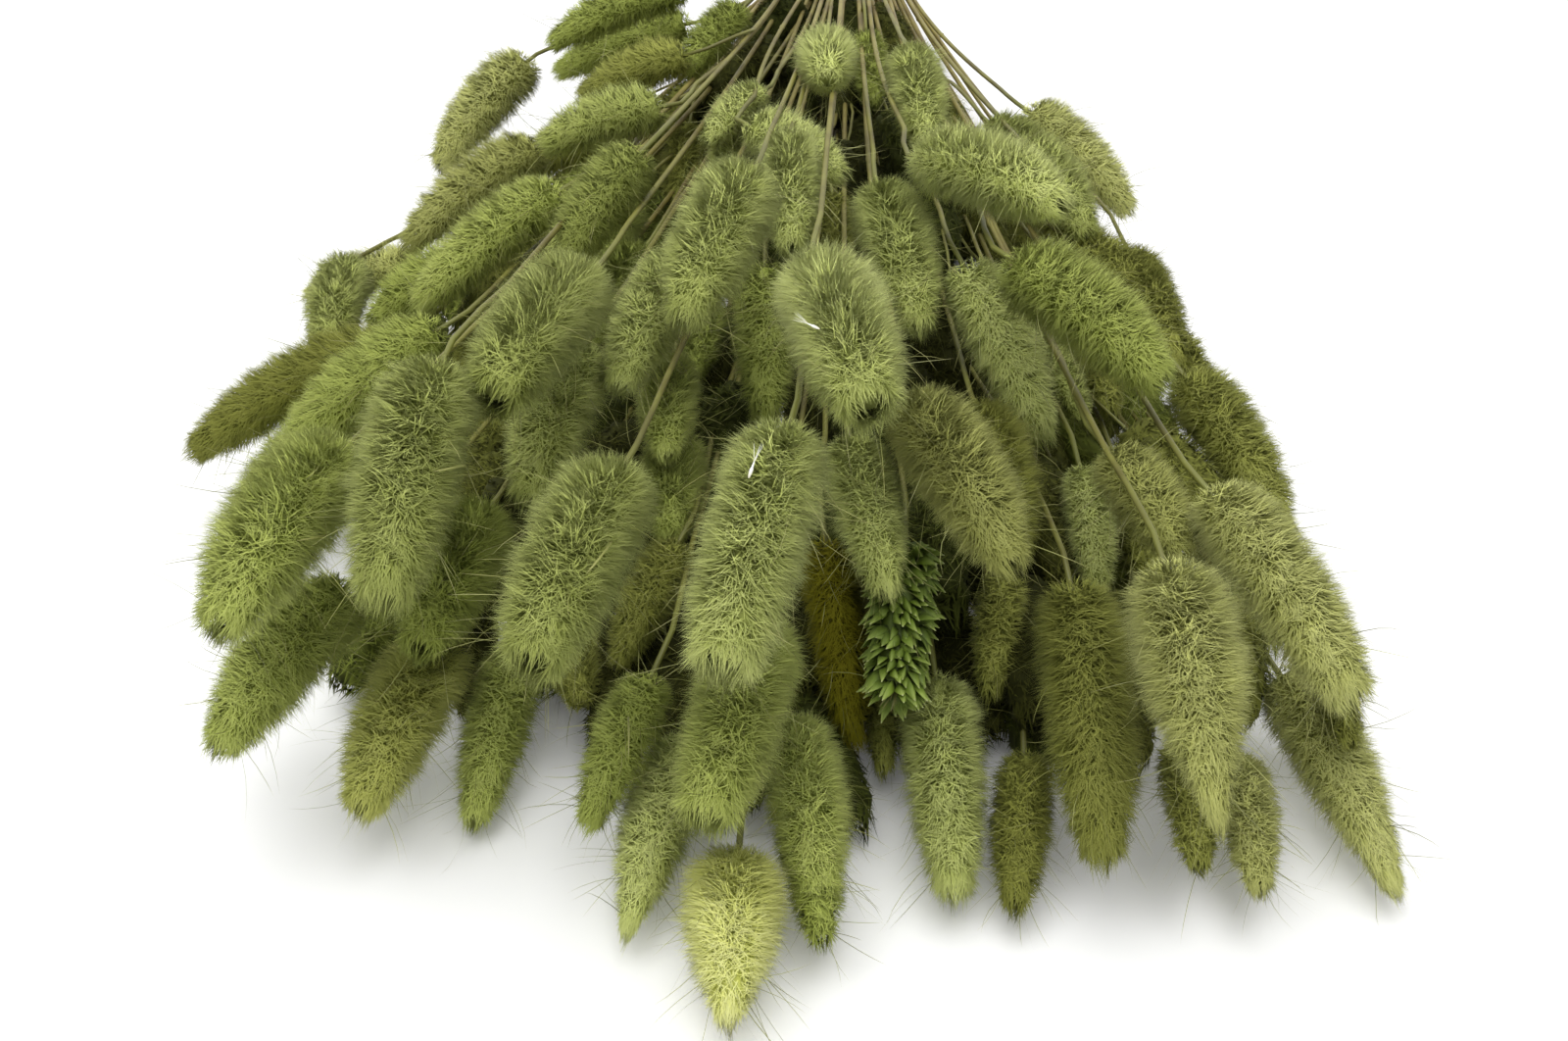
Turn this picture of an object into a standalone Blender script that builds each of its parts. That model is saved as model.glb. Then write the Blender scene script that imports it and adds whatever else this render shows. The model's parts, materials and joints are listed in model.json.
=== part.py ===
"""A bunch of dried bunny tail grass, held by an elastic tie and lying on a table.

The stems lie along Y, with their cut ends towards +Y and the heads towards -Y.
Every stalk is one closed solid: its stem, its collar and its head grew in one piece.
"""

import math

import bpy
import numpy as np

MM = 0.001

# Stalks
BUTT_LENGTH = 62 * MM  # cut ends behind the tie
BUTT_RADIUS = 0.95 * MM
COLLAR_RADIUS = 0.6 * MM  # the stem just below its head
COLLAR_LENGTH = 13 * MM  # stretch of stem that bends with its head
NECK_LENGTH = 1 * MM  # step from the stem out to the blunt base of its head
HEAD_STATIONS = (0.0, 0.18, 0.5, 0.82, 1.0)  # along the head, from base to tip
HEAD_SHAPE = (0.58, 0.94, 1.0, 0.66, 0.16)  # share of the full radius at each station
SPIKE_SHAPE = (0.5, 0.85, 1.0, 0.9, 0.35)  # the head that has lost its down
HEAD_CURL = 0.06  # drop of the head's middle line, as a share of its length
FREE_POINTS = 4  # bends that a stem can take between the tie and its collar

# Tie
TIE_HALF = 2.5 * MM  # half the width of the elastic
TIE_THICKNESS = 1.3 * MM
TIE_CLEARANCE = 0.6 * MM
STEM_PITCH = 1.55 * MM  # spreads the stems evenly inside the tie
BUTT_FLARE = 1.12  # how far the cut ends spread, against their places in the tie

# Settling
GAP = 0.5 * MM  # kept between stalks
STEPS = 900
HOLD = 0.04  # pull of each head towards its own place
STRAIGHTEN = 0.2  # stiffness of the stems
WEIGHT = 0.45 * MM  # how far a stem's bends sink in a step
REACH = 6 * MM  # pairs closer than this are watched

# Each stalk's head: how far across and ahead of the tie its middle lies and how high,
# in mm, its swing to the right and its nod in degrees, its length and width in mm, and
# its tint. They go from the heads that lie on the table up and back to the shortest stalks.
TAILS = (
    (-88, 516, 34, -20, 10, 42, 19, "green"),
    (-66, 518, 22, -10, 10, 41, 19, "olive"),
    (-50, 509, 12, -5, 20, 39, 15, "green"),
    (-15, 534, 13, -10, 15, 41, 16, "sage"),
    (4, 557, 13, 2, 10, 32, 20, "lime"),
    (12, 529, 15, 10, 5, 41, 17, "green"),
    (40, 520, 15, 5, 15, 46, 17, "sage"),
    (54, 528, 12, -5, 15, 32, 13, "olive"),
    (66, 515, 29, 5, 30, 55, 19, "olive"),
    (97, 525, 14, 0, 5, 31, 12, "khaki"),
    (116, 511, 13, 20, 15, 50, 17, "khaki"),
    (-21, 526, 25, -10, 25, 31, 13, "green"),
    (1, 530, 39, -10, 10, 44, 19, "green"),
    (-58, 499, 43, -5, 0, 42, 19, "green"),
    (18, 495, 28, 15, 45, 41, 13, "brown"),
    (99, 502, 49, 30, 20, 48, 18, "khaki"),
    (-19, 483, 27, -5, 15, 30, 13, "olive"),
    (-82, 518, 67, -10, 5, 48, 21, "green"),
    (-56, 513, 77, -5, 20, 49, 20, "sage"),
    (-26, 530, 73, -10, 10, 45, 20, "sage"),
    (5, 533, 81, -10, 20, 47, 19, "sage"),
    (23, 489, 56, 15, 20, 35, 15, "sage"),
    (40, 490, 65, 20, 20, 43, 19, "khaki"),
    (79, 537, 57, 10, 15, 48, 20, "khaki"),
    (-44, 474, 84, -10, 5, 45, 20, "sage"),
    (17, 496, 99, 15, 0, 45, 20, "sage"),
    (-93, 435, 44, -50, 25, 46, 18, "green"),
    (-117, 420, 32, -55, 20, 52, 18, "olive"),
    (-43, 459, 54, -10, 20, 40, 18, "sage"),
    (-19, 446, 30, 5, 0, 37, 16, "green"),
    (-23, 436, 42, 5, 5, 33, 15, "green"),
    (-26, 437, 66, -15, 15, 40, 17, "sage"),
    (-11, 439, 86, -15, 15, 44, 20, "sage"),
    (-3, 414, 48, 0, 45, 38, 16, "green"),
    (55, 458, 42, 10, 10, 42, 18, "olive"),
    (71, 455, 28, 10, 30, 31, 12, "sage"),
    (80, 475, 57, 40, 13, 28, 15, "khaki"),
    (67, 440, 72, 45, 15, 44, 20, "green"),
    (105, 429, 32, 25, 20, 47, 18, "olive"),
    (54, 415, 48, 50, 40, 45, 18, "sage"),
    (28, 401, 66, 15, 20, 43, 19, "sage"),
    (45, 403, 82, 45, -5, 43, 19, "sage"),
    (-75, 379, 51, -42, 25, 48, 17, "green"),
    (-118, 375, 30, 5, 0, 37, 17, "sage"),
    (-120, 346, 25, -50, 0, 34, 14, "khaki"),
    (-47, 397, 73, -36, 29, 37, 16, "sage"),
    (-91, 331, 42, -50, 23, 47, 18, "khaki"),
    (1, 388, 73, 10, 8, 40, 16, "sage"),
    (68, 343, 55, 25, 15, 37, 16, "sage"),
    (79, 288, 38, 55, 30, 43, 18, "khaki"),
    (32, 313, 64, 10, 20, 38, 17, "sage"),
    (3, 349, 73, 62, 5, 29, 16, "sage"),
    (4, 301, 67, 4, -8, 32, 18, "sage"),
    (-51, 343, 68, -62, 18, 33, 16, "sage"),
    (-101, 271, 40, -40, 25, 45, 19, "khaki"),
    (-70, 208, 42, -70, 15, 48, 17, "green"),
    (-27, 308, 62, -35, 10, 27, 12, "sage"),
    (-24, 304, 46, -5, 20, 32, 13, "sage"),
)
BARE_SPIKE = (30, 499, 38, -2, 25, 34, 15, "leaf")

TINTS = {
    "sage": (0.27, 0.31, 0.11),
    "green": (0.17, 0.24, 0.06),
    "olive": (0.16, 0.17, 0.05),
    "khaki": (0.28, 0.28, 0.11),
    "lime": (0.42, 0.47, 0.12),
    "brown": (0.15, 0.11, 0.03),
    "leaf": (0.08, 0.20, 0.03),
}


def clear_scene():
    for thing in list(bpy.data.objects):
        bpy.data.objects.remove(thing, do_unlink=True)


def heading(swing, nod):
    """Unit vector of a head that swings to the right of -Y and nods below the level."""
    swing, nod = math.radians(swing), math.radians(nod)
    level = math.cos(nod)
    return np.array((math.sin(swing) * level, -math.cos(swing) * level, -math.sin(nod)))


def head_points(middle, axis, length):
    """Collar and stations of a head on its gently drooping middle line."""
    line = [middle - axis * (length / 2 + COLLAR_LENGTH)]
    for share in HEAD_STATIONS:
        sag = HEAD_CURL * length * (1 - (2 * share - 1) ** 2)
        line.append(middle + axis * length * (share - 0.5) + np.array((0, 0, sag)))
    return np.array(line)


def tie_places(count):
    """Places of the stems in the tie, as (x, z), evenly spread over a round bundle."""
    turn = math.pi * (3 - math.sqrt(5))
    radius = [STEM_PITCH * math.sqrt(k + 0.5) for k in range(count)]
    return [(r * math.cos(k * turn), r * math.sin(k * turn)) for k, r in enumerate(radius)]


def shared_out(rows, places):
    """Gives each stalk a place in the tie, so that high heads leave it high and the
    left ones leave it on the left, and their stems need not cross."""
    in_row = 7
    lift = sorted(range(len(rows)), key=lambda k: (rows[k][2] - 15) / rows[k][1])
    free = sorted(range(len(places)), key=lambda k: places[k][1])
    chosen = {}
    for start in range(0, len(rows), in_row):
        stalks = sorted(lift[start : start + in_row], key=lambda k: rows[k][0] / rows[k][1])
        slots = sorted(free[start : start + in_row], key=lambda k: places[k][0])
        chosen.update(zip(stalks, slots))
    return [places[chosen[k]] for k in range(len(rows))]


def stalk_radii(row, shape):
    """Radius at each point of a stalk, from its cut end to its tip."""
    stem = np.linspace(BUTT_RADIUS, COLLAR_RADIUS, 3 + FREE_POINTS + 1)
    return np.concatenate((stem, np.array(shape) * row[6] * MM / 2))


def first_path(row, place, tie_height):
    """A stalk before settling: straight from the tie to its collar."""
    x, z = place
    butt = np.array((x * BUTT_FLARE, BUTT_LENGTH, tie_height + z * BUTT_FLARE))
    behind = np.array((x, TIE_HALF, tie_height + z))
    before = np.array((x, -TIE_HALF, tie_height + z))
    middle = np.array((row[0], -row[1], row[2])) * MM
    head = head_points(middle, heading(row[3], row[4]), row[5] * MM)
    shares = np.arange(1, FREE_POINTS + 1) / (FREE_POINTS + 1)
    stem = before + (head[0] - before) * shares[:, None]
    return np.vstack((butt, behind, before, stem, head))


def nearest_points(a, b, c, d):
    """Shares along a-b and c-d at which the two stretches come closest."""
    u, v, w = b - a, d - c, a - c
    uu = np.maximum((u * u).sum(1), 1e-12)
    vv = np.maximum((v * v).sum(1), 1e-12)
    uv, uw, vw = (u * v).sum(1), (u * w).sum(1), (v * w).sum(1)
    across = uu * vv - uv * uv
    s = np.where(across > 1e-9 * uu * vv, (uv * vw - vv * uw) / np.maximum(across, 1e-18), 0.5)
    s = s.clip(0, 1)
    t = ((uv * s + vw) / vv).clip(0, 1)
    s = ((uv * t - uw) / uu).clip(0, 1)
    return s, t


def near_pairs(paths, radii):
    """Stretches of different stalks that are close enough to touch soon."""
    count, points = radii.shape
    middle = ((paths[:, 1:] + paths[:, :-1]) / 2).reshape(-1, 3)
    half = np.linalg.norm(paths[:, 1:] - paths[:, :-1], axis=2).ravel() / 2
    thick = np.maximum(radii[:, 1:], radii[:, :-1]).ravel()
    stalk = np.repeat(np.arange(count), points - 1)
    first, second = np.triu_indices(len(middle), 1)
    apart = np.linalg.norm(middle[first] - middle[second], axis=1)
    limit = (half + thick)[first] + (half + thick)[second] + REACH
    keep = (stalk[first] != stalk[second]) & (apart < limit)
    first, second = first[keep], second[keep]
    a, b = start_of(first, points), start_of(second, points)
    flat = paths.reshape(-1, 3)
    s, t = nearest_points(flat[a], flat[a + 1], flat[b], flat[b + 1])
    here = flat[a] + (flat[a + 1] - flat[a]) * s[:, None]
    there = flat[b] + (flat[b + 1] - flat[b]) * t[:, None]
    close = np.linalg.norm(here - there, axis=1) < thick[first] + thick[second] + REACH
    return a[close], b[close]


def start_of(stretch, points):
    """Index of a stretch's first point in the flat list of all points."""
    return stretch // (points - 1) * points + stretch % (points - 1)


def push_apart(flat, thick, ease, pairs):
    """Moves the ends of touching stretches apart, and returns the deepest overlap."""
    a, b = pairs
    s, t = nearest_points(flat[a], flat[a + 1], flat[b], flat[b + 1])
    here = flat[a] + (flat[a + 1] - flat[a]) * s[:, None]
    there = flat[b] + (flat[b + 1] - flat[b]) * t[:, None]
    need = thick[a] * (1 - s) + thick[a + 1] * s + thick[b] * (1 - t) + thick[b + 1] * t + GAP
    between = here - there
    apart = np.maximum(np.linalg.norm(between, axis=1), 1e-7)
    deep = need - apart
    hit = deep > 0
    if not hit.any():
        return 0.0
    a, b, s, t = a[hit], b[hit], s[hit], t[hit]
    away = between[hit] / apart[hit, None]
    ends = np.stack((a, a + 1, b, b + 1), 1)
    share = np.stack((1 - s, s, t - 1, -t), 1)
    weight = share * ease[ends]
    push = deep[hit] / np.maximum((share * weight).sum(1), 1e-6)
    move = weight[:, :, None] * push[:, None, None] * away[:, None, :]
    total, hits = np.zeros_like(flat), np.zeros(len(flat))
    np.add.at(total, ends.ravel(), move.reshape(-1, 3))
    np.add.at(hits, ends.ravel(), np.abs(share).ravel() > 0.05)
    flat += total / np.maximum(hits, 1)[:, None] * 1.1
    return float(deep.max())


def settle(rows, paths, radii):
    """Lets the stalks push each other apart until none touch, as they do when the
    bunch is laid down, while each head keeps close to its place and its shape."""
    stem_end = 3 + FREE_POINTS
    wanted = paths[:, stem_end:].copy()
    middle = wanted[:, 1:].mean(1)
    axis = wanted[:, -1] - wanted[:, 1]
    axis /= np.linalg.norm(axis, axis=1)[:, None]
    ease = np.ones(radii.shape)
    ease[:, :3] = 0
    ease[:, stem_end:] = 0.35
    flat, thick = paths.reshape(-1, 3), radii.ravel()
    for step in range(STEPS):
        if step % 8 == 0:
            pairs = near_pairs(paths, radii)
        deepest = push_apart(flat, thick, ease.ravel(), pairs)
        last = step > STEPS * 0.7
        hold = 0 if last else HOLD * (1 - step / STEPS)
        for k, row in enumerate(rows):
            head = paths[k, stem_end:]
            centre = head[1:].mean(0)
            along = head[-1] - head[0]
            along /= np.linalg.norm(along)
            centre += (middle[k] - centre) * hold
            along += (axis[k] - along) * hold
            along /= np.linalg.norm(along)
            head[:] = head_points(centre, along, row[5] * MM)
            head += centre - head[1:].mean(0)
        stiff = STRAIGHTEN * (0.1 if last else 1)
        inner = paths[:, 3:stem_end]
        inner += ((paths[:, 2 : stem_end - 1] + paths[:, 4 : stem_end + 1]) / 2 - inner) * stiff
        inner[:, :, 2] -= WEIGHT * stiff / STRAIGHTEN
        paths[:, :, 2] = np.maximum(paths[:, :, 2], radii)
        if last and deepest < GAP * 0.3:
            break
    print(f"settled after {step} steps, deepest {deepest / MM:.2f} mm")
    return paths


def with_neck(path, radii):
    """Adds the point where the stem meets the blunt base of its head."""
    base = 4 + FREE_POINTS
    back = path[base - 1] - path[base]
    neck = path[base] + back / np.linalg.norm(back) * NECK_LENGTH
    return np.insert(path, base, neck, axis=0), np.insert(radii, base, COLLAR_RADIUS)


def material(name, colour, roughness):
    made = bpy.data.materials.get(name)
    if made is None:
        made = bpy.data.materials.new(name)
        made.use_nodes = True
        shader = made.node_tree.nodes["Principled BSDF"]
        shader.inputs["Base Color"].default_value = (*colour, 1)
        shader.inputs["Roughness"].default_value = roughness
        shader.inputs["Metallic"].default_value = 0
    return made


def stalk(name, path, radii, tint, collection):
    """One stalk as a tube along its path, thick where its head is."""
    curve = bpy.data.curves.new(name, "CURVE")
    curve.dimensions = "3D"
    curve.bevel_depth = 1.0
    curve.bevel_resolution = 1
    curve.use_fill_caps = True
    spline = curve.splines.new("POLY")
    spline.points.add(len(path) - 1)
    for point, place, radius in zip(spline.points, path, radii):
        point.co = (*place, 1)
        point.radius = radius
    curve.materials.append(material("down_" + tint, TINTS[tint], 0.9))
    made = bpy.data.objects.new(name, curve)
    collection.objects.link(made)
    return made


def elastic_tie(inner, height, collection):
    """The elastic round the stems: a flat profile turned round the Y axis."""
    outer = inner + TIE_THICKNESS
    chamfer = TIE_THICKNESS / 4
    profile = (
        (inner, TIE_HALF),
        (outer - chamfer, TIE_HALF),
        (outer, TIE_HALF - chamfer),
        (outer, chamfer - TIE_HALF),
        (outer - chamfer, -TIE_HALF),
        (inner, -TIE_HALF),
    )
    mesh = bpy.data.meshes.new("elastic_tie")
    edges = [(k, (k + 1) % len(profile)) for k in range(len(profile))]
    mesh.from_pydata([(x, 0, z) for x, z in profile], edges, [])
    mesh.materials.append(material("elastic", (0.30, 0.24, 0.13), 0.7))
    made = bpy.data.objects.new("elastic_tie", mesh)
    turned = made.modifiers.new("turn", "SCREW")
    turned.steps = 24
    turned.render_steps = 24
    turned.use_merge_vertices = True
    turned.merge_threshold = 0.00005
    made.rotation_euler = (math.radians(90), 0, 0)
    made.location = (0, 0, height)
    collection.objects.link(made)
    return made


def main():
    clear_scene()
    collection = bpy.data.collections.new("bunny_tail_grass")
    bpy.context.scene.collection.children.link(collection)
    rows = TAILS + (BARE_SPIKE,)
    names = [f"bunny_tail_{k + 1:02d}" for k in range(len(TAILS))] + ["bare_spike"]
    shapes = [HEAD_SHAPE] * len(TAILS) + [SPIKE_SHAPE]
    places = shared_out(rows, tie_places(len(rows)))
    bundle = max(math.hypot(*place) for place in places) + BUTT_RADIUS
    tie_inner = bundle + TIE_CLEARANCE
    tie_height = tie_inner + TIE_THICKNESS
    paths = np.array([first_path(row, place, tie_height) for row, place in zip(rows, places)])
    radii = np.array([stalk_radii(row, shape) for row, shape in zip(rows, shapes)])
    paths = settle(rows, paths, radii)
    front = (paths[:, :, 1] - radii).min()
    sides = (paths[:, :, 0] - radii).min() + (paths[:, :, 0] + radii).max()
    shift = np.array((-sides / 2, -(front + BUTT_LENGTH) / 2, 0))
    for name, path, thick, row in zip(names, paths + shift, radii, rows):
        stalk(name, *with_neck(path, thick), row[7], collection)
    tie = elastic_tie(tie_inner, tie_height, collection)
    tie.location.x += shift[0]
    tie.location.y += shift[1]


main()
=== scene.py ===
# Looks of a bunch of dried bunny tail grass: downy heads on straw stems, held by an elastic.
import json
import math

import bmesh
import bpy
import numpy as np
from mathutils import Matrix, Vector


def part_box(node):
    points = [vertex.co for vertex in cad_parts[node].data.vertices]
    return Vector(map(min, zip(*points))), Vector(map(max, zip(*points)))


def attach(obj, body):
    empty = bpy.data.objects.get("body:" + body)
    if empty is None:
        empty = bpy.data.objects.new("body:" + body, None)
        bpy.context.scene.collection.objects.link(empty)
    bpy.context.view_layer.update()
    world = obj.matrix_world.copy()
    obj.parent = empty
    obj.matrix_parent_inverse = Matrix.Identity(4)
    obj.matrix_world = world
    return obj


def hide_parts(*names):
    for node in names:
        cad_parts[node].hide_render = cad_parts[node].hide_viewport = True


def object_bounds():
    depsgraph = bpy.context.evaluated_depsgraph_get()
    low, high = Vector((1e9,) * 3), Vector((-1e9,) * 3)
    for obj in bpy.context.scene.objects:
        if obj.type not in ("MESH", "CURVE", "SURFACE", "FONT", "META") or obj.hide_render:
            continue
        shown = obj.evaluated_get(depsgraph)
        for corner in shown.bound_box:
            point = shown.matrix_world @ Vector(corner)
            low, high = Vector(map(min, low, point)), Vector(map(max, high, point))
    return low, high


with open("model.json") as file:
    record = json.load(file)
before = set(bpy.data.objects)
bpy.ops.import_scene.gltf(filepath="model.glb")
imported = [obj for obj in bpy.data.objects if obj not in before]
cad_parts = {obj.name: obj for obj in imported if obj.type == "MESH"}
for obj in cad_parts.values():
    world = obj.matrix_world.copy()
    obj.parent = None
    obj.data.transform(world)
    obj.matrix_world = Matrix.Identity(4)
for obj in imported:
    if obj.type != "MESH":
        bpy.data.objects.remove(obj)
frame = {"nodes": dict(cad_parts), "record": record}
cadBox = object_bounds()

mm = 0.001
record = frame["record"]
slotOf = {part["node"]: part["material_slot"] for part in record["subparts"]}
tieLow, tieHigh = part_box("elastic_tie")
tieMiddle = np.array((tieLow + tieHigh) / 2)
print("frame loaded:", len(frame["nodes"]), "nodes")


def unit(arrows):
    return arrows / np.maximum(np.linalg.norm(arrows, axis=-1, keepdims=True), 1e-12)


def pickPoints(test):
    # selects, in the mesh being edited, the points that pass the test
    mesh = bmesh.from_edit_mesh(bpy.context.object.data)
    for point in mesh.verts:
        point.select_set(bool(test(point.co)))
    mesh.select_flush_mode()
    bmesh.update_edit_mesh(bpy.context.object.data)


def startShape(add, **words):
    # a primitive, selected all over and ready to be shaped about its own origin
    bpy.ops.object.select_all(action="DESELECT")
    add(**words)
    bpy.ops.object.transform_apply(location=True)
    bpy.ops.object.mode_set(mode="EDIT")


def startBall(segments, rings, flatness=1):
    # an upright ball, one unit high
    startShape(bpy.ops.mesh.primitive_uv_sphere_add, segments=segments, ring_count=rings, radius=1)
    scaleShape(1, flatness, 0.5)
    moveShape(0, 0, 0.5)


def startRod(sides):
    # an upright rod, one unit high
    startShape(bpy.ops.mesh.primitive_cylinder_add, vertices=sides, radius=1, depth=1, location=(0, 0, 0.5))


def scaleShape(x, y, z):
    # about the shape's origin
    bpy.ops.transform.resize(value=(x, y, z), center_override=(0, 0, 0))


def moveShape(x, y, z):
    bpy.ops.transform.translate(value=(x, y, z))


def cutAcross(heights):
    # new edges round the upright shape at each height
    for height in heights:
        bpy.ops.mesh.select_all(action="SELECT")
        bpy.ops.mesh.bisect(plane_co=(0, 0, height), plane_no=(0, 0, 1))


def takeShape():
    # hands over the modelled piece as points and triangles, and removes it
    bpy.ops.object.mode_set(mode="OBJECT")
    made = bpy.context.object
    made.data.calc_loop_triangles()
    points = np.array([point.co for point in made.data.vertices])
    faces = np.array([list(face.vertices) for face in made.data.loop_triangles])
    bpy.data.objects.remove(made, do_unlink=True)
    return points, faces


def smoothLine(points, count):
    # even walk along a smooth curve through the points, which may be far apart or close
    points = np.array(points)
    step = np.linalg.norm(np.diff(points, axis=0), axis=1)
    when = np.concatenate(([0], np.cumsum(step)))
    slope = np.diff(points, axis=0) / step[:, None]
    lean = np.vstack((slope[:1], np.zeros((len(points) - 2, 3)), slope[-1:]))
    before, after = step[:-1, None], step[1:, None]
    lean[1:-1] = (slope[:-1] * after + slope[1:] * before) / (before + after)
    at = np.linspace(0, when[-1], count)
    k = np.clip(np.searchsorted(when, at, side="right") - 1, 0, len(step) - 1)
    t = ((at - when[k]) / step[k])[:, None]
    width = step[k][:, None]
    return (points[k] * (2 * t**3 - 3 * t**2 + 1) + points[k + 1] * (3 * t**2 - 2 * t**3)
            + lean[k] * width * (t**3 - 2 * t**2 + t) + lean[k + 1] * width * (t**3 - t**2))


def wrapMap(shape, low, high):
    # map of a round upright shape: along it and around it, inside a band of the map
    points, faces = shape
    around = np.arctan2(points[:, 1], points[:, 0]) / (2 * math.pi) % 1
    corners = np.stack((points[:, 2].clip(0, 1), around), 1)[faces]
    wraps = corners[:, :, 1].max(1) - corners[:, :, 1].min(1) > 0.5
    corners[:, :, 1] += (wraps[:, None] & (corners[:, :, 1] < 0.5)) * 1.0
    corners[:, :, 0] = 0.01 + 0.98 * corners[:, :, 0]
    corners[:, :, 1] = low + (high - low) * corners[:, :, 1] / 1.2
    return corners


def wrapAlong(shape, line, radii, finish, band, reference=(0, 0, 1)):
    # bends an upright shape, one unit high, along a line that never runs along the reference
    points, faces = shape
    rows = points[:, 2].clip(0, 1) * (len(line) - 1)
    low = np.minimum(rows.astype(int), len(line) - 2)
    part = (rows - low)[:, None]
    ahead = unit(np.gradient(line, axis=0))
    side = unit(np.cross(reference, ahead))
    top = np.cross(ahead, side)
    middle = line[low] * (1 - part) + line[low + 1] * part
    sideways = side[low] * (1 - part) + side[low + 1] * part
    upwards = top[low] * (1 - part) + top[low + 1] * part
    radii = np.broadcast_to(radii, len(line))
    radius = (radii[low] * (1 - part[:, 0]) + radii[low + 1] * part[:, 0])[:, None]
    bent = middle + (sideways * points[:, :1] + upwards * points[:, 1:2]) * radius
    return {"points": bent, "faces": faces, "finish": finish, "map": wrapMap(shape, *band)}


def joinPiece(name, shapes, finishes, replaced=None):
    # one mesh from several sets of points, triangles, map corners, normals and finish
    mesh = bpy.data.meshes.new(name)
    starts = np.cumsum([0] + [len(shape["points"]) for shape in shapes])
    points = np.vstack([shape["points"] for shape in shapes])
    faces = np.vstack([shape["faces"] + start for shape, start in zip(shapes, starts)])
    mesh.vertices.add(len(points))
    mesh.vertices.foreach_set("co", points.astype(np.float32).ravel())
    mesh.loops.add(faces.size)
    mesh.loops.foreach_set("vertex_index", faces.astype(np.int32).ravel())
    mesh.polygons.add(len(faces))
    mesh.polygons.foreach_set("loop_start", np.arange(0, faces.size, 3, dtype=np.int32))
    numbers = [np.full(len(shape["faces"]), shape["finish"], np.int32) for shape in shapes]
    mesh.polygons.foreach_set("material_index", np.concatenate(numbers))
    mesh.polygons.foreach_set("use_smooth", np.ones(len(faces), bool))
    corners = np.vstack([shape["map"].reshape(-1, 2) for shape in shapes])
    mesh.uv_layers.new(name="OFBake").data.foreach_set("uv", corners.astype(np.float32).ravel())
    for finish in finishes:
        mesh.materials.append(finish)
    mesh.update()
    leans = [shape.get("normals", np.zeros_like(shape["points"])) for shape in shapes]
    mesh.normals_split_custom_set_from_vertices(np.vstack(leans).astype(np.float32))
    piece = bpy.data.objects.new(name, mesh)
    bpy.context.scene.collection.objects.link(piece)
    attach(piece, "root")
    if replaced:
        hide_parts(replaced)


def setInputs(node, values):
    for name, value in values.items():
        node.inputs[name].default_value = value


def startFinish(name, values):
    finish = bpy.data.materials.new(name)
    finish.use_nodes = True
    shader = finish.node_tree.nodes["Principled BSDF"]
    setInputs(shader, values)
    return finish, finish.node_tree, shader


def rampColour(tree, value, stops):
    ramp = tree.nodes.new("ShaderNodeValToRGB")
    ramp.color_ramp.elements[0].position = stops[0][0]
    ramp.color_ramp.elements[0].color = (*stops[0][1], 1)
    ramp.color_ramp.elements[1].position = stops[-1][0]
    ramp.color_ramp.elements[1].color = (*stops[-1][1], 1)
    for place, colour in stops[1:-1]:
        ramp.color_ramp.elements.new(place).color = (*colour, 1)
    tree.links.new(value, ramp.inputs["Fac"])
    return ramp.outputs["Color"]


def mapCoordinates(tree):
    # the map, and its two directions: along the hair or stem, and from its dark to its pale edge
    reader = tree.nodes.new("ShaderNodeUVMap")
    reader.uv_map = "OFBake"
    parts = tree.nodes.new("ShaderNodeSeparateXYZ")
    tree.links.new(reader.outputs["UV"], parts.inputs["Vector"])
    return reader.outputs["UV"], parts.outputs["X"], parts.outputs["Y"]


def objectPlace(tree):
    return tree.nodes.new("ShaderNodeTexCoord").outputs["Object"]


def noiseNode(tree, place, scale, detail=2):
    noise = tree.nodes.new("ShaderNodeTexNoise")
    setInputs(noise, {"Scale": scale, "Detail": detail})
    tree.links.new(place, noise.inputs["Vector"])
    return noise.outputs["Fac"]


def blendColours(tree, amount, first, second):
    mix = tree.nodes.new("ShaderNodeMix")
    mix.data_type = "RGBA"
    tree.links.new(amount, mix.inputs["Factor"])
    tree.links.new(first, mix.inputs["A"])
    tree.links.new(second, mix.inputs["B"])
    return mix.outputs["Result"]


def blendRanges(tree, along, shade, dark, pale):
    # from a dark range of colour to a pale one, each with its stops along the hair or scale
    ends = [rampColour(tree, along, stops) for stops in (dark, pale)]
    return blendColours(tree, shade, *ends)


def rescale(tree, value, low, high, newLow=0.0, newHigh=1.0):
    scale = tree.nodes.new("ShaderNodeMapRange")
    setInputs(scale, {"From Min": low, "From Max": high, "To Min": newLow, "To Max": newHigh})
    tree.links.new(value, scale.inputs["Value"])
    return scale.outputs["Result"]


# Bands of the map that each kind of surface has to itself
stemBand = (0.00, 0.10)
awnBand = (0.24, 0.32)
downBand = (0.36, 1.00)

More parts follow.
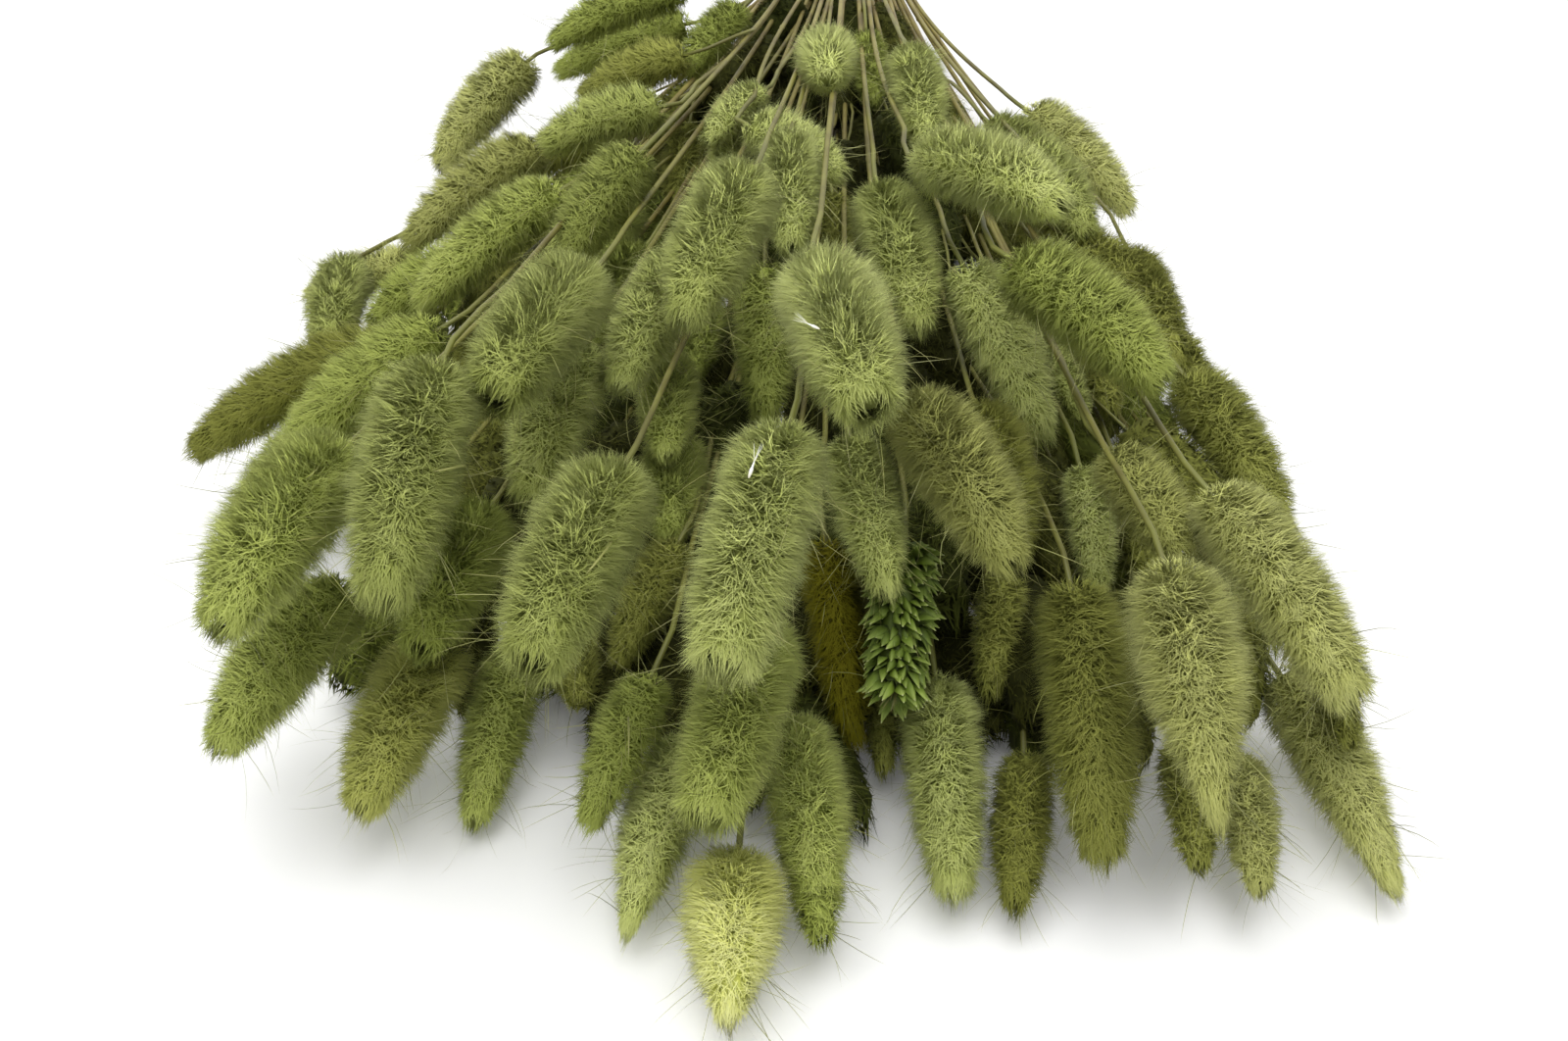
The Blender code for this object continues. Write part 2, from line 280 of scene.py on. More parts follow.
# Colour of the hairs near their root, a third along and at their tip, where the down is dark and
# where it is pale. Their darkening towards the root is partly their own tone and partly painted
# shade deep in the down, and at the very root they are nearly black, which is painted shade.
tintStops = (0.08, 0.35, 1.0)
rootShade = 0.1
downTints = {
    "down_sage": {"dark": ((.145, .168, .032), (.335, .380, .086), (.43, .48, .130)),
                  "pale": ((.330, .375, .090), (.700, .770, .235), (.86, .92, .370))},
    "down_green": {"dark": ((.115, .138, .022), (.270, .320, .056), (.36, .42, .088)),
                   "pale": ((.270, .320, .064), (.620, .700, .170), (.78, .85, .280))},
    "down_olive": {"dark": ((.100, .106, .019), (.230, .245, .044), (.30, .31, .068)),
                   "pale": ((.235, .250, .054), (.540, .570, .132), (.66, .68, .215))},
    "down_khaki": {"dark": ((.138, .143, .033), (.325, .337, .080), (.42, .43, .120)),
                   "pale": ((.310, .322, .084), (.670, .695, .220), (.81, .83, .340))},
    "down_lime": {"dark": ((.240, .260, .032), (.600, .640, .095), (.74, .78, .160)),
                  "pale": ((.520, .560, .100), (.940, .965, .310), (.97, .98, .480))},
    "down_brown": {"dark": ((.028, .026, .001), (.090, .082, .003), (.13, .115, .006)),
                   "pale": ((.065, .060, .003), (.205, .190, .010), (.27, .25, .018))},
}


def outwardNormal(tree):
    # the down's own outward direction, whichever side of a hair is seen
    side = tree.nodes.new("ShaderNodeNewGeometry")
    turned = tree.nodes.new("ShaderNodeVectorMath")
    turned.operation = "SCALE"
    tree.links.new(side.outputs["Normal"], turned.inputs[0])
    tree.links.new(rescale(tree, side.outputs["Backfacing"], 0, 1, 1, -1), turned.inputs["Scale"])
    return turned.outputs["Vector"]


downSurface = {"Roughness": 0.8, "Specular IOR Level": 0.1, "Sheen Weight": 0.05, "Sheen Roughness": 0.45,
               "Sheen Tint": (0.85, 0.92, 0.45, 1)}


def downFinish(slot):
    finish, tree, shader = startFinish(slot.replace("down_", "down-"), downSurface)
    uv, along, across = mapCoordinates(tree)
    tint = downTints[slot]
    # the first stop, nearly black, is painted shade at the very root
    dark, pale = [[(0, np.array(tint[end][0]) * rootShade), *zip(tintStops, tint[end])]
                  for end in ("dark", "pale")]
    shade = rescale(tree, across, *downBand)
    tree.links.new(blendRanges(tree, along, shade, dark, pale), shader.inputs["Base Color"])
    tree.links.new(outwardNormal(tree), shader.inputs["Normal"])
    return finish


def stemFinish():
    finish, tree, shader = startFinish("straw stem", {"Roughness": 0.55})
    uv, along, across = mapCoordinates(tree)
    straw = rampColour(tree, along, (
        (0.0, (.38, .31, .11)), (0.30, (.31, .250, .070)), (0.62, (.245, .215, .050)),
        (0.90, (.185, .180, .034)), (1.0, (.15, .165, .028))))
    streaks = noiseNode(tree, objectPlace(tree), scale=60, detail=4)
    browned = tree.nodes.new("ShaderNodeHueSaturation")
    setInputs(browned, {"Value": 0.6, "Hue": 0.48})
    tree.links.new(straw, browned.inputs["Color"])
    amount = rescale(tree, streaks, 0.42, 0.66)
    colour = blendColours(tree, amount, straw, browned.outputs["Color"])
    tree.links.new(colour, shader.inputs["Base Color"])
    return finish


def awnFinish():
    finish, tree, shader = startFinish("bristles", {"Roughness": 0.5})
    uv, along, across = mapCoordinates(tree)
    dark = ((0.0, (.05, .055, .010)), (0.5, (.11, .115, .022)), (1.0, (.18, .17, .045)))
    pale = ((0.0, (.16, .17, .04)), (0.5, (.36, .37, .11)), (1.0, (.50, .48, .19)))
    shade = rescale(tree, across, *awnBand)
    tree.links.new(blendRanges(tree, along, shade, dark, pale), shader.inputs["Base Color"])
    return finish


def bractFinish():
    # fresh green scales with fine veins and pale points
    finish, tree, shader = startFinish("green bracts", {"Roughness": 0.65})
    uv, along, across = mapCoordinates(tree)
    dark = ((0.0, (.022, .034, .002)), (0.50, (.070, .110, .006)), (0.88, (.14, .20, .022)),
            (1.0, (.36, .40, .13)))
    pale = ((0.0, (.050, .075, .004)), (0.50, (.165, .245, .018)), (0.88, (.34, .43, .09)),
            (1.0, (.76, .77, .42)))
    squeeze = tree.nodes.new("ShaderNodeMapping")
    setInputs(squeeze, {"Scale": (1.5, 260, 1)})
    tree.links.new(uv, squeeze.inputs["Vector"])
    veins = noiseNode(tree, squeeze.outputs["Vector"], scale=1)
    veined = tree.nodes.new("ShaderNodeMath")
    veined.operation = "ADD"
    tree.links.new(rescale(tree, across, *downBand), veined.inputs[0])
    tree.links.new(rescale(tree, veins, 0.3, 0.7, -0.3, 0.3), veined.inputs[1])
    colour = blendRanges(tree, along, veined.outputs["Value"], dark, pale)
    tree.links.new(colour, shader.inputs["Base Color"])
    return finish


def elasticFinish():
    finish, tree, shader = startFinish("natural rubber", {"Roughness": 0.6})
    bloom = noiseNode(tree, objectPlace(tree), scale=300, detail=5)
    stops = ((0.3, (.36, .24, .11)), (0.55, (.46, .33, .17)), (0.75, (.56, .45, .29)))
    tree.links.new(rampColour(tree, bloom, stops), shader.inputs["Base Color"])
    bump = tree.nodes.new("ShaderNodeBump")
    setInputs(bump, {"Strength": 0.25, "Distance": 0.1 * mm})
    tree.links.new(bloom, bump.inputs["Height"])
    tree.links.new(bump.outputs["Normal"], shader.inputs["Normal"])
    return finish


def chaffFinish():
    finish, tree, shader = startFinish("white chaff", {"Roughness": 0.5})
    uv, along, across = mapCoordinates(tree)
    stops = ((0.0, (.70, .66, .52)), (0.5, (.86, .86, .82)), (1.0, (.93, .94, .95)))
    tree.links.new(rampColour(tree, along, stops), shader.inputs["Base Color"])
    return finish


strawStem = stemFinish()
bristle = awnFinish()
greenBract = bractFinish()
rubber = elasticFinish()
whiteChaff = chaffFinish()
down = {slot: downFinish(slot) for slot in downTints}
print("finishes made")


def modelHair():
    # one flat hair, from y 0 to 1, widest at its root
    startShape(bpy.ops.mesh.primitive_circle_add, vertices=3, radius=1, fill_type="NGON")
    moveShape(0, 0.5, 0)
    scaleShape(2 / math.sqrt(3), 2 / 3, 1)
    return takeShape()


bristleStretches = {"long": 0.25, "narrower": (0.85, 0.75, 0.05)}


def modelBristle():
    # one long bristle, from y 0 to 1, in four stretches that narrow to its point
    startShape(bpy.ops.mesh.primitive_plane_add, size=2)
    step = bristleStretches["long"]
    scaleShape(1, step / 2, 1)
    moveShape(0, step / 2, 0)
    for k, narrower in enumerate(bristleStretches["narrower"]):
        pickPoints(lambda place: place.y > (k + 0.9) * step)
        bpy.ops.mesh.extrude_region_move(TRANSFORM_OT_translate={"value": (0, step, 0)})
        scaleShape(narrower, 1, 1)
    return takeShape()


stemShape = {"joints": (0.36, 0.68), "jointHalf": 0.004, "jointSwell": 1.3}


def modelStem(sides, rows):
    # an upright stem, one unit high, with a swollen joint wherever a leaf once sat
    startRod(sides)
    half = stemShape["jointHalf"]
    cuts = list(np.linspace(0, 1, rows)[1:-1])
    for joint in stemShape["joints"]:
        cuts = [cut for cut in cuts if abs(cut - joint) > 2 * half] + [joint - half, joint, joint + half]
    cutAcross(cuts)
    for joint in stemShape["joints"]:
        pickPoints(lambda place: abs(place.z - joint) < half / 4)
        scaleShape(stemShape["jointSwell"], stemShape["jointSwell"], 1)
    return takeShape()


feltShape = {"segments": 12, "rings": 16, "lumps": 0.05, "lumpSeed": 4, "from": 0.04, "long": 0.86}


def modelFelt():
    # the close felt that the long hairs grow from, lumpy all over but at its two ends
    startBall(feltShape["segments"], feltShape["rings"])
    pickPoints(lambda place: 0.01 < place.z < 0.99)
    bpy.ops.transform.vertex_random(offset=feltShape["lumps"], uniform=1, seed=feltShape["lumpSeed"])
    return takeShape()


bractShape = {"width": (0.50, 0.90, 1.0, 0.76, 0.42, 0.04), "fold": 0.30, "curl": 0.10, "thick": 0.015}


def modelBract():
    # one pointed scale, from y 0 to 1, folded along its middle and curled out at its point
    rows = len(bractShape["width"]) - 1
    startShape(bpy.ops.mesh.primitive_grid_add, x_subdivisions=2, y_subdivisions=rows, size=2)
    moveShape(0, 1, 0)
    scaleShape(1, 0.5, 1)
    for k, width in enumerate(bractShape["width"]):
        far = k / rows
        pickPoints(lambda place: abs(place.y - far) < 0.01)
        scaleShape(width, 1, 1)
        moveShape(0, 0, bractShape["curl"] * far**2)
        pickPoints(lambda place: abs(place.y - far) < 0.01 and abs(place.x) < 0.01)
        moveShape(0, 0, bractShape["fold"] * width)
    bpy.ops.object.mode_set(mode="OBJECT")
    bract = bpy.context.object
    skin = bract.modifiers.new("skin", "SOLIDIFY")
    skin.thickness = bractShape["thick"]
    skin.use_even_offset = False
    bpy.ops.object.modifier_apply(modifier="skin")
    return takeShape()


grainShape = {"sides": 10, "rings": 10, "flatness": 0.7, "tipFrom": 0.6, "tipSize": 0.6}


def modelGrain():
    # the husk of a loose floret: a flattened spindle with a slim upper end
    startBall(grainShape["sides"], grainShape["rings"], grainShape["flatness"])
    start, size = grainShape["tipFrom"], grainShape["tipSize"]
    pickPoints(lambda place: place.z > start)
    scaleShape(size, size, 1)
    return takeShape()


strandShape = {"sides": 12, "rows": 150, "flatFrom": 0.45, "flatness": 0.9}


def modelStrand():
    # a rod of rubber, a little flattened on two sides, with rows of points along it
    startRod(strandShape["sides"])
    pickPoints(lambda place: abs(place.y) > strandShape["flatFrom"])
    scaleShape(1, strandShape["flatness"], 1)
    cutAcross(np.linspace(0, 1, strandShape["rows"])[1:-1])
    return takeShape()


hairShape = modelHair()
bristleShape = modelBristle()
uprightStem = modelStem(8, 34)
slimStem = modelStem(5, 22)
uprightFelt = modelFelt()
flatBract = modelBract()
uprightGrain = modelGrain()
uprightStrand = modelStrand()
print("hair, bristle, stem, felt, bract, floret and elastic modelled")


headRings = 5
ringSides = 6
headShares = np.array((0.0, 0.18, 0.5, 0.82, 1.0))
collarLength = 13 * mm
stemCuts = 8
stemEase = 9     # how often a stem's bends are evened out


def middleAt(solid, level):
    # middle of the solid's section across Y
    cut = bmesh.ops.bisect_plane(solid, geom=solid.verts[:] + solid.edges[:] + solid.faces[:],
                                 plane_co=(0, level, 0), plane_no=(0, 1, 0))
    points = [list(part.co) for part in cut["geom_cut"] if isinstance(part, bmesh.types.BMVert)]
    return np.mean(points, axis=0)


def readStalk(node):
    # points along a stalk's stem, from its cut end, and the middle and radius of its head's rings
    solid = bmesh.new()
    solid.from_mesh(node.data)
    bmesh.ops.remove_doubles(solid, verts=solid.verts, dist=0.01 * mm)
    ring = sorted(solid.verts, key=lambda point: -point.co.y)[:ringSides]
    seen = set(ring)
    middles, radii = [], []
    while ring:
        middle = sum((point.co for point in ring), Vector()) / len(ring)
        middles.append(list(middle))
        radii.append(sum((point.co - middle).length for point in ring) / len(ring))
        ring = list({edge.other_vert(point) for point in ring for edge in point.link_edges} - seen)
        seen.update(ring)
    head, headRadii = np.array(middles[-headRings:]), np.array(radii[-headRings:])
    collar = head[0] - unit(head[-1] - head[0]) * collarLength
    levels = [tieHigh.y, *np.linspace(tieLow.y, collar[1], stemCuts)[:-1]]
    stemPoints = np.array([middles[0], *[middleAt(solid, level) for level in levels], collar, head[0]])
    for again in range(stemEase):
        stemPoints[3:-1] = (stemPoints[2:-2] + 2 * stemPoints[3:-1] + stemPoints[4:]) / 4
    solid.free()
    return stemPoints, head, headRadii


def headOf(ends, radii, taper=0.58, blunt=2.6, felt=0.54):
    # a head's middle line, as a gentle arc, with its directions and its outline
    axis = unit(ends[-1] - ends[0])
    side = unit(np.cross((0, 0, 1), axis))
    return {"arc": np.polyfit(headShares, ends, 2), "axis": axis, "side": side, "top": np.cross(axis, side),
            "length": float(np.linalg.norm(ends[-1] - ends[0])), "radius": float(radii.max()),
            "taper": taper, "blunt": blunt, "felt": felt}


headShape = {"baseAhead": 0.07, "baseLong": 0.27, "tipFrom": 0.4, "least": 0.04}


def outline(head, share):
    # radius of the down along the head, as a share of its widest
    base = np.sqrt(1 - (1 - np.clip((share + headShape["baseAhead"]) / headShape["baseLong"], 0, 1)) ** 2)
    beyond = np.clip((share - headShape["tipFrom"]) / (1 - headShape["tipFrom"]), 0, None)
    return np.maximum(base * (1 - head["taper"] * beyond ** head["blunt"]), headShape["least"])


def onAxis(head, share):
    return np.stack((share**2, share, np.ones_like(share)), 1) @ head["arc"]


def awayFromAxis(head, around):
    return np.cos(around)[:, None] * head["side"] + np.sin(around)[:, None] * head["top"]


def onHead(head, share, around, reach):
    return onAxis(head, share) + awayFromAxis(head, around) * reach[:, None]


def onFelt(head, share, around):
    return onHead(head, share, around, head["radius"] * head["felt"] * outline(head, share))


downShape = {
    "tuftSpacing": 1.7 * mm,
    "feltTone": (0.08, 0.28, 0.30, 0.60),   # place on the hairs' own range of colour
    "halfWidth": 0.135 * mm,
    "widths": (0.7, 1.3),
    "roots": (0.02, 0.94),  # where along the head they grow
    "sweep": (-0.02, 0.045, 0.06),   # how far the hairs run forward, at the base, middle and tip
    "rootScatter": 1.0 * mm,
    "tipScatter": 1.25 * mm,
    "tuftLean": 0.35 * mm,
    "tuftLong": 0.03,
    "longest": 1.07,
    "shorter": 0.24,
    "wander": 0.8 * mm,     # how far the down is combed together or apart
    "wanderLength": 6 * mm,
    "lump": 0.05,
    "roll": 0.55,
    "looseShare": 0.24,     # hairs that stand out past the rest, as a soft edge
    "looseLong": 0.26,
    "looseWidth": 0.6,
    "looseScatter": 1.2 * mm,
    "endHairs": 2.5 * mm,   # how far the hairs run on at the head's end
    "tuftShade": 0.05,      # how much darker or paler tufts, hairs and lumps are
    "hairShade": 0.05,
    "lumpShade": 0.05,
    "shortShade": 0.12,
    # the hairs at the head's blunt end are darker: painted shade
    "endShade": -0.08,
    "turned": 0.15,         # how much of a hair's own side, and of chance, the light sees
    "turnScatter": 0.05,
}
goldenTurn = math.pi * (3 - math.sqrt(5))
dome = {"from": 0.9, "long": 0.12, "last": 0.97, "high": 0.05, "scatter": 0.02}
tableGap = 0.2 * mm
slimmest = 2 * mm       # a girth for turning a distance round the head into an angle
fullDensity = 5.2       # hairs to a square millimetre on the front heads
backDensity = 3.2
shelteredDensity = 2.8
innerDensity = 0.8


def wavesThrough(rng, length, count=5):
    # a smooth random field in space, roughly between -1 and 1
    arrows = unit(rng.normal(size=(count, 3))) * 2 * math.pi / length * rng.uniform(0.6, 1.6, (count, 1))
    phase = rng.uniform(0, 2 * math.pi, count)
    return lambda points: np.sin(points @ arrows.T + phase).sum(1) / math.sqrt(count)


def copiedFaces(shape, count):
    points, faces = shape
    starts = np.arange(count)[:, None, None] * len(points)
    return (faces[None] + starts).reshape(-1, 3)


def strandMap(shape, count, shade, band, ripe=1.0):
    # along the strand one way, and its shade the other way, with a little width
    # where the reach along is cut short the strand keeps to its dark root colours: painted shade
    points, faces = shape
    along = 0.02 + 0.96 * ripe * points[faces][:, :, 1]
    across = points[faces][:, :, 0] * 0.006
    low, high = band
    level = low + 0.012 + (high - low - 0.024) * shade.clip(0, 1)
    corners = np.empty((count, *along.shape, 2))
    corners[..., 0] = along[None]
    corners[..., 1] = level[:, None, None] + across[None]
    return corners.reshape(-1, 3, 2)


def strands(shape, roots, bends, tips, sides, halfWidths, finish, shade, band, ripe=1.0):
    # copies of one flat strand, each bent from its root past its bend to its tip, above the table
    points, faces = shape
    x, y = points[None, :, 0, None], points[None, :, 1, None]
    line = roots[:, None] * (1 - y) ** 2 + bends[:, None] * 2 * y * (1 - y) + tips[:, None] * y**2
    placed = (line + sides[:, None] * x * np.reshape(halfWidths, (-1, 1, 1))).reshape(-1, 3)
    placed[:, 2] = np.maximum(placed[:, 2], tableGap)
    return {"points": placed, "faces": copiedFaces(shape, len(roots)), "finish": finish,
            "map": strandMap(shape, len(roots), shade, band, ripe)}


def growDown(head, density, rng, shadeShift=0.0, tipShade=0.0, ripe=1.0):
    length, radius = head["length"], head["radius"]
    table = np.linspace(0.0, 1.0, 200)
    spread = np.cumsum(outline(head, table) + (table > dome["last"]))
    area = 2 * math.pi * radius * length * spread[-1] / len(table)
    tufts = int(area / downShape["tuftSpacing"] ** 2)
    count = int(area / mm**2 * density)
    order = (np.arange(tufts) + 0.5) / tufts
    tuftShare = np.interp(order, spread / spread[-1], table)
    tuftAround = np.arange(tufts) * goldenTurn
    pick = rng.integers(tufts, size=count)
    # each tuft has a lean, a length and a shade of its own
    lean = rng.normal(0, downShape["tuftLean"], (tufts, 2))
    tuftLong = rng.normal(0, downShape["tuftLong"], tufts)
    tuftShade = rng.normal(0, downShape["tuftShade"], tufts)
    rootOff = rng.normal(0, downShape["rootScatter"], (count, 2))
    tipOff = rng.normal(0, downShape["tipScatter"], (count, 2)) + lean[pick]
    first, last = downShape["roots"]
    rootShare = (first + (last - first) * tuftShare[pick] + rootOff[:, 0] / length).clip(0, last)
    sweep = np.interp(rootShare, (0, 0.15, 0.9), downShape["sweep"])
    tipShare = (rootShare + sweep + tipOff[:, 0] / length).clip(-0.06, None)
    # at the blunt end the tips fill a dome
    ending = np.clip((tipShare - dome["from"]) / dome["long"], 0, 1)
    inward = 1 - ending * (1 - np.sqrt(rng.uniform(0, 1, count)))
    domed = dome["high"] * (1 - inward**2) + rng.normal(0, dome["scatter"], count)
    tipShare = np.minimum(tipShare, dome["last"]) + ending * domed
    girth = radius * outline(head, tipShare)
    around = tuftAround[pick]
    # broad waves comb the down together here and apart there
    here = onHead(head, tipShare, around, girth)
    sideWave = wavesThrough(rng, downShape["wanderLength"])(here)
    frontWave = wavesThrough(rng, downShape["wanderLength"])(here)
    lump = wavesThrough(rng, 1.3 * downShape["wanderLength"])(here)
    tipAround = around + (tipOff[:, 1] + sideWave * downShape["wander"]) / np.maximum(girth, slimmest)
    tipShare = tipShare + frontWave * downShape["wander"] / length
    short = rng.beta(2.0, 4.0, count)
    long = downShape["longest"] - downShape["shorter"] * short + tuftLong[pick] + lump * downShape["lump"]
    loose = rng.uniform(0, 1, count) < downShape["looseShare"]
    long += loose * rng.uniform(0, downShape["looseLong"], count) * (4 * mm / radius + 0.5)
    tipAround += loose * rng.normal(0, downShape["looseScatter"], count) / np.maximum(girth, slimmest)
    rootReach = radius * head["felt"] * outline(head, rootShare)
    rootAround = around + rootOff[:, 1] / np.maximum(rootReach, 1.2 * mm)
    roots = onHead(head, rootShare, rootAround, rootReach)
    tips = onHead(head, tipShare, tipAround, radius * outline(head, tipShare) * long * inward)
    tips += head["axis"] * (ending * (0.8 - short) * downShape["endHairs"])[:, None]
    run = unit(tips - roots)
    # outward direction of the down's surface, which the light sees
    slope = (outline(head, tipShare + 0.02) - outline(head, tipShare - 0.02)) / 0.04 * radius / length
    forward = head["axis"] * (ending * 0.8 - slope.clip(-3, 3))[:, None]
    outward = unit(awayFromAxis(head, tipAround) * inward[:, None] + forward)
    roll = rng.uniform(-downShape["roll"], downShape["roll"], count)[:, None]
    flat = unit(np.cross(run, outward))
    sides = flat * np.cos(roll) + np.cross(run, flat) * np.sin(roll)
    facing = np.cross(sides, run)
    sides *= np.where((facing * outward).sum(1) < 0, -1, 1)[:, None]
    facing = np.cross(sides, run)
    turned = unit(facing) * downShape["turned"] + rng.normal(0, downShape["turnScatter"], (count, 3))
    normals = unit(outward + turned)
    halfWidths = downShape["halfWidth"] * rng.uniform(*downShape["widths"], count)
    halfWidths *= (fullDensity / density) ** 0.4 * np.where(loose, downShape["looseWidth"], 1)
    # each hair's shade: its tuft's, its own and its lump's tone at random, the head's shift, partly painted
    # shade and light, its tip's shift, painted shade and light, longer hairs paler, and painted shade at
    # the blunt end
    shade = 0.5 + shadeShift + tuftShade[pick] + rng.normal(0, downShape["hairShade"], count)
    shade += lump * downShape["lumpShade"] + tipShade * np.clip((tipShare - 0.35) / 0.65, 0, 1)
    shade += downShape["shortShade"] * (0.35 - short) + downShape["endShade"] * ending
    hairs = strands(hairShape, roots, (roots + tips) / 2, tips, sides, halfWidths, 1, shade, downBand, ripe)
    return {**hairs, "normals": np.repeat(normals, 3, axis=0)}


bristles = {"count": 60, "halfWidth": 0.06 * mm, "widths": (0.7, 1.3), "past": (2 * mm, 10 * mm),
            "droop": 0.12, "from": (0.1, 0.95), "forward": (0.25, 1.5), "astray": 0.3, "bend": 0.09}


def growBristles(head, rng, amount=1.0):
    # long bristles that stand out of the down, mostly forwards and to the sides
    count = int(bristles["count"] * amount)
    share = rng.uniform(*bristles["from"], count)
    around = rng.uniform(0, 2 * math.pi, count)
    roots = onFelt(head, share, around)
    forward = head["axis"] * rng.uniform(*bristles["forward"], count)[:, None]
    astray = rng.normal(0, bristles["astray"], (count, 3))
    run = unit(awayFromAxis(head, around) + forward + astray)
    low, high = bristles["past"]
    reach = head["radius"] * 0.9 + low + (high - low) * rng.beta(1.2, 2.4, count)
    tips = roots + run * reach[:, None]
    bends = roots + run * reach[:, None] * 0.5
    bends += rng.normal(0, bristles["bend"], (count, 3)) * reach[:, None]
    tips[:, 2] -= bristles["droop"] * reach * rng.uniform(0, 1, count)
    sides = unit(np.cross(run, rng.normal(size=(count, 3))))
    halfWidths = bristles["halfWidth"] * rng.uniform(*bristles["widths"], count)
    shade = rng.uniform(0, 1, count)
    return strands(bristleShape, roots, bends, tips, sides, halfWidths, 2, shade, awnBand)


stem = {"stations": 160, "buttRadius": 0.95 * mm, "collarRadius": 0.62 * mm, "endShare": 0.12}


def growStem(stemPoints, head, thin=1.0, shape=uprightStem):
    # the stem follows its solid's bends in one smooth curve and ends inside its head
    inside = onAxis(head, np.array((stem["endShare"],)))
    line = smoothLine(np.vstack((stemPoints, inside)), stem["stations"])
    thickness = np.linspace(stem["buttRadius"], stem["collarRadius"], stem["stations"]) * thin
    line[:, 2] = np.maximum(line[:, 2], thickness * stemShape["jointSwell"])
    return wrapAlong(shape, line, thickness, 0, stemBand)


def growFelt(head, rng, ripe=1.0):
    points, faces = uprightFelt
    share = feltShape["from"] + feltShape["long"] * points[:, 2]
    across = np.hypot(points[:, 0], points[:, 1])
    around = np.arctan2(points[:, 1], points[:, 0])
    full = np.sqrt(np.maximum(1 - (2 * points[:, 2].clip(0, 1) - 1) ** 2, 0.02))
    reach = head["radius"] * head["felt"] * outline(head, share) * np.minimum(across / full, 1.25)
    nearRoot, nearTip, darkest, palest = downShape["feltTone"]
    low, high = downBand
    # a felt with painted shade keeps to its darker colours too
    along = (nearRoot + (nearTip - nearRoot) * rng.uniform(0, 1, len(points))) * ripe
    shade = low + (high - low) * (darkest + (palest - darkest) * rng.uniform(0, 1, len(points)))
    return {"points": onHead(head, share, around, reach), "faces": faces, "finish": 1,
            "map": np.stack((along, shade), 1)[faces]}


slimBelow = 0.8     # stems thinner than this share of the usual have fewer sides and rows


def makeStalk(name, line, slot, density, seed, replaced=None, thin=1.0, bristleAmount=1.0, **look):
    stemPoints, ends, radii = line
    rng = np.random.default_rng(seed)
    ownOutline = {word: look.pop(word) for word in ("taper", "blunt", "felt") if word in look}
    head = headOf(ends, radii, **ownOutline)
    stemKind = uprightStem if thin > slimBelow else slimStem
    shapes = [growStem(stemPoints, head, thin, stemKind), growFelt(head, rng, look.get("ripe", 1.0)),
              growDown(head, density, rng, **look), growBristles(head, rng, bristleAmount)]
    joinPiece(name, shapes, (strawStem, down[slot], bristle), replaced)
    return head


stalkLines = {name: readStalk(node) for name, node in frame["nodes"].items() if name != "elastic_tie"}
front = min(head[-1][1] for stemPoints, head, radii in stalkLines.values())
print("lines read from", len(stalkLines), "stalks")

# Heads that differ from the rest, by their number: how much darker or paler they are, partly their
# own tone and partly painted shade and light for where they lie in the bunch; how much darker or
# paler their tip is, painted shade and light; and how far and how suddenly they narrow towards the tip
traits = ("shadeShift", "tipShade", "taper", "blunt")
character = {
    1: (0.15,), 2: (0.5,), 3: (0.13,), 4: (0.5, 0, 0.8, 2), 5: (0, 0.9, 0.75, 1.7),
    6: (0.5, 0, 0.5, 2.2), 7: (0.15, 0, 0.5, 2.4), 8: (-0.45,), 9: (-0.3, 0, 0.55, 3), 10: (0.15,),
    11: (0.5, 0, 0.75, 1.8), 12: (-0.15,), 13: (0.15, 0, 0.35, 3), 14: (-0.35,), 15: (0.3,),
    16: (0.3, 0, 0.4), 17: (-0.3,), 18: (0.2,), 19: (-0.05, -0.2, 0.45, 3),
    20: (-0.1, -0.2, 0.4, 3), 21: (0.1, 0, 0.3, 4), 23: (-0.25,), 24: (0.15, -0.2, 0.85, 1.6),
    25: (0.05, -0.3, 0.4, 3), 26: (0.5, -0.5, 0.4, 3), 27: (-0.1,), 28: (-0.5,), 29: (0.2, -0.4),
    31: (0.5,), 32: (0.05,), 33: (0.2, -0.3), 35: (-0.5,), 36: (0.15,), 37: (-0.25,), 40: (0.5,),
    42: (0.5,), 43: (0.2,), 44: (0.15, -0.3), 45: (0.45,), 46: (-0.45,), 47: (-0.1,),
    48: (0.4, -0.2), 50: (0.5,), 51: (0.3,), 52: (0.5,), 53: (0.5,), 54: (-0.25,), 55: (0.4,),
    56: (-0.2,), 57: (0.5,), 58: (-0.05,),
}
thinnedOver = 300 * mm      # the down gets less close from the front head to this far behind it
heads = {}
for k, (name, line) in enumerate(sorted(stalkLines.items())):
    if name == "bare_spike":
        continue
    back = (line[1][-1][1] - front) / thinnedOver
    density = fullDensity + (backDensity - fullDensity) * min(max(back, 0), 1)
    look = dict(zip(traits, character.get(int(name[-2:]), ())))
    heads[name] = makeStalk(name.replace("_", ""), line, slotOf[name], density, 100 + k, name, **look)
print("downy stalks made:", len(heads))


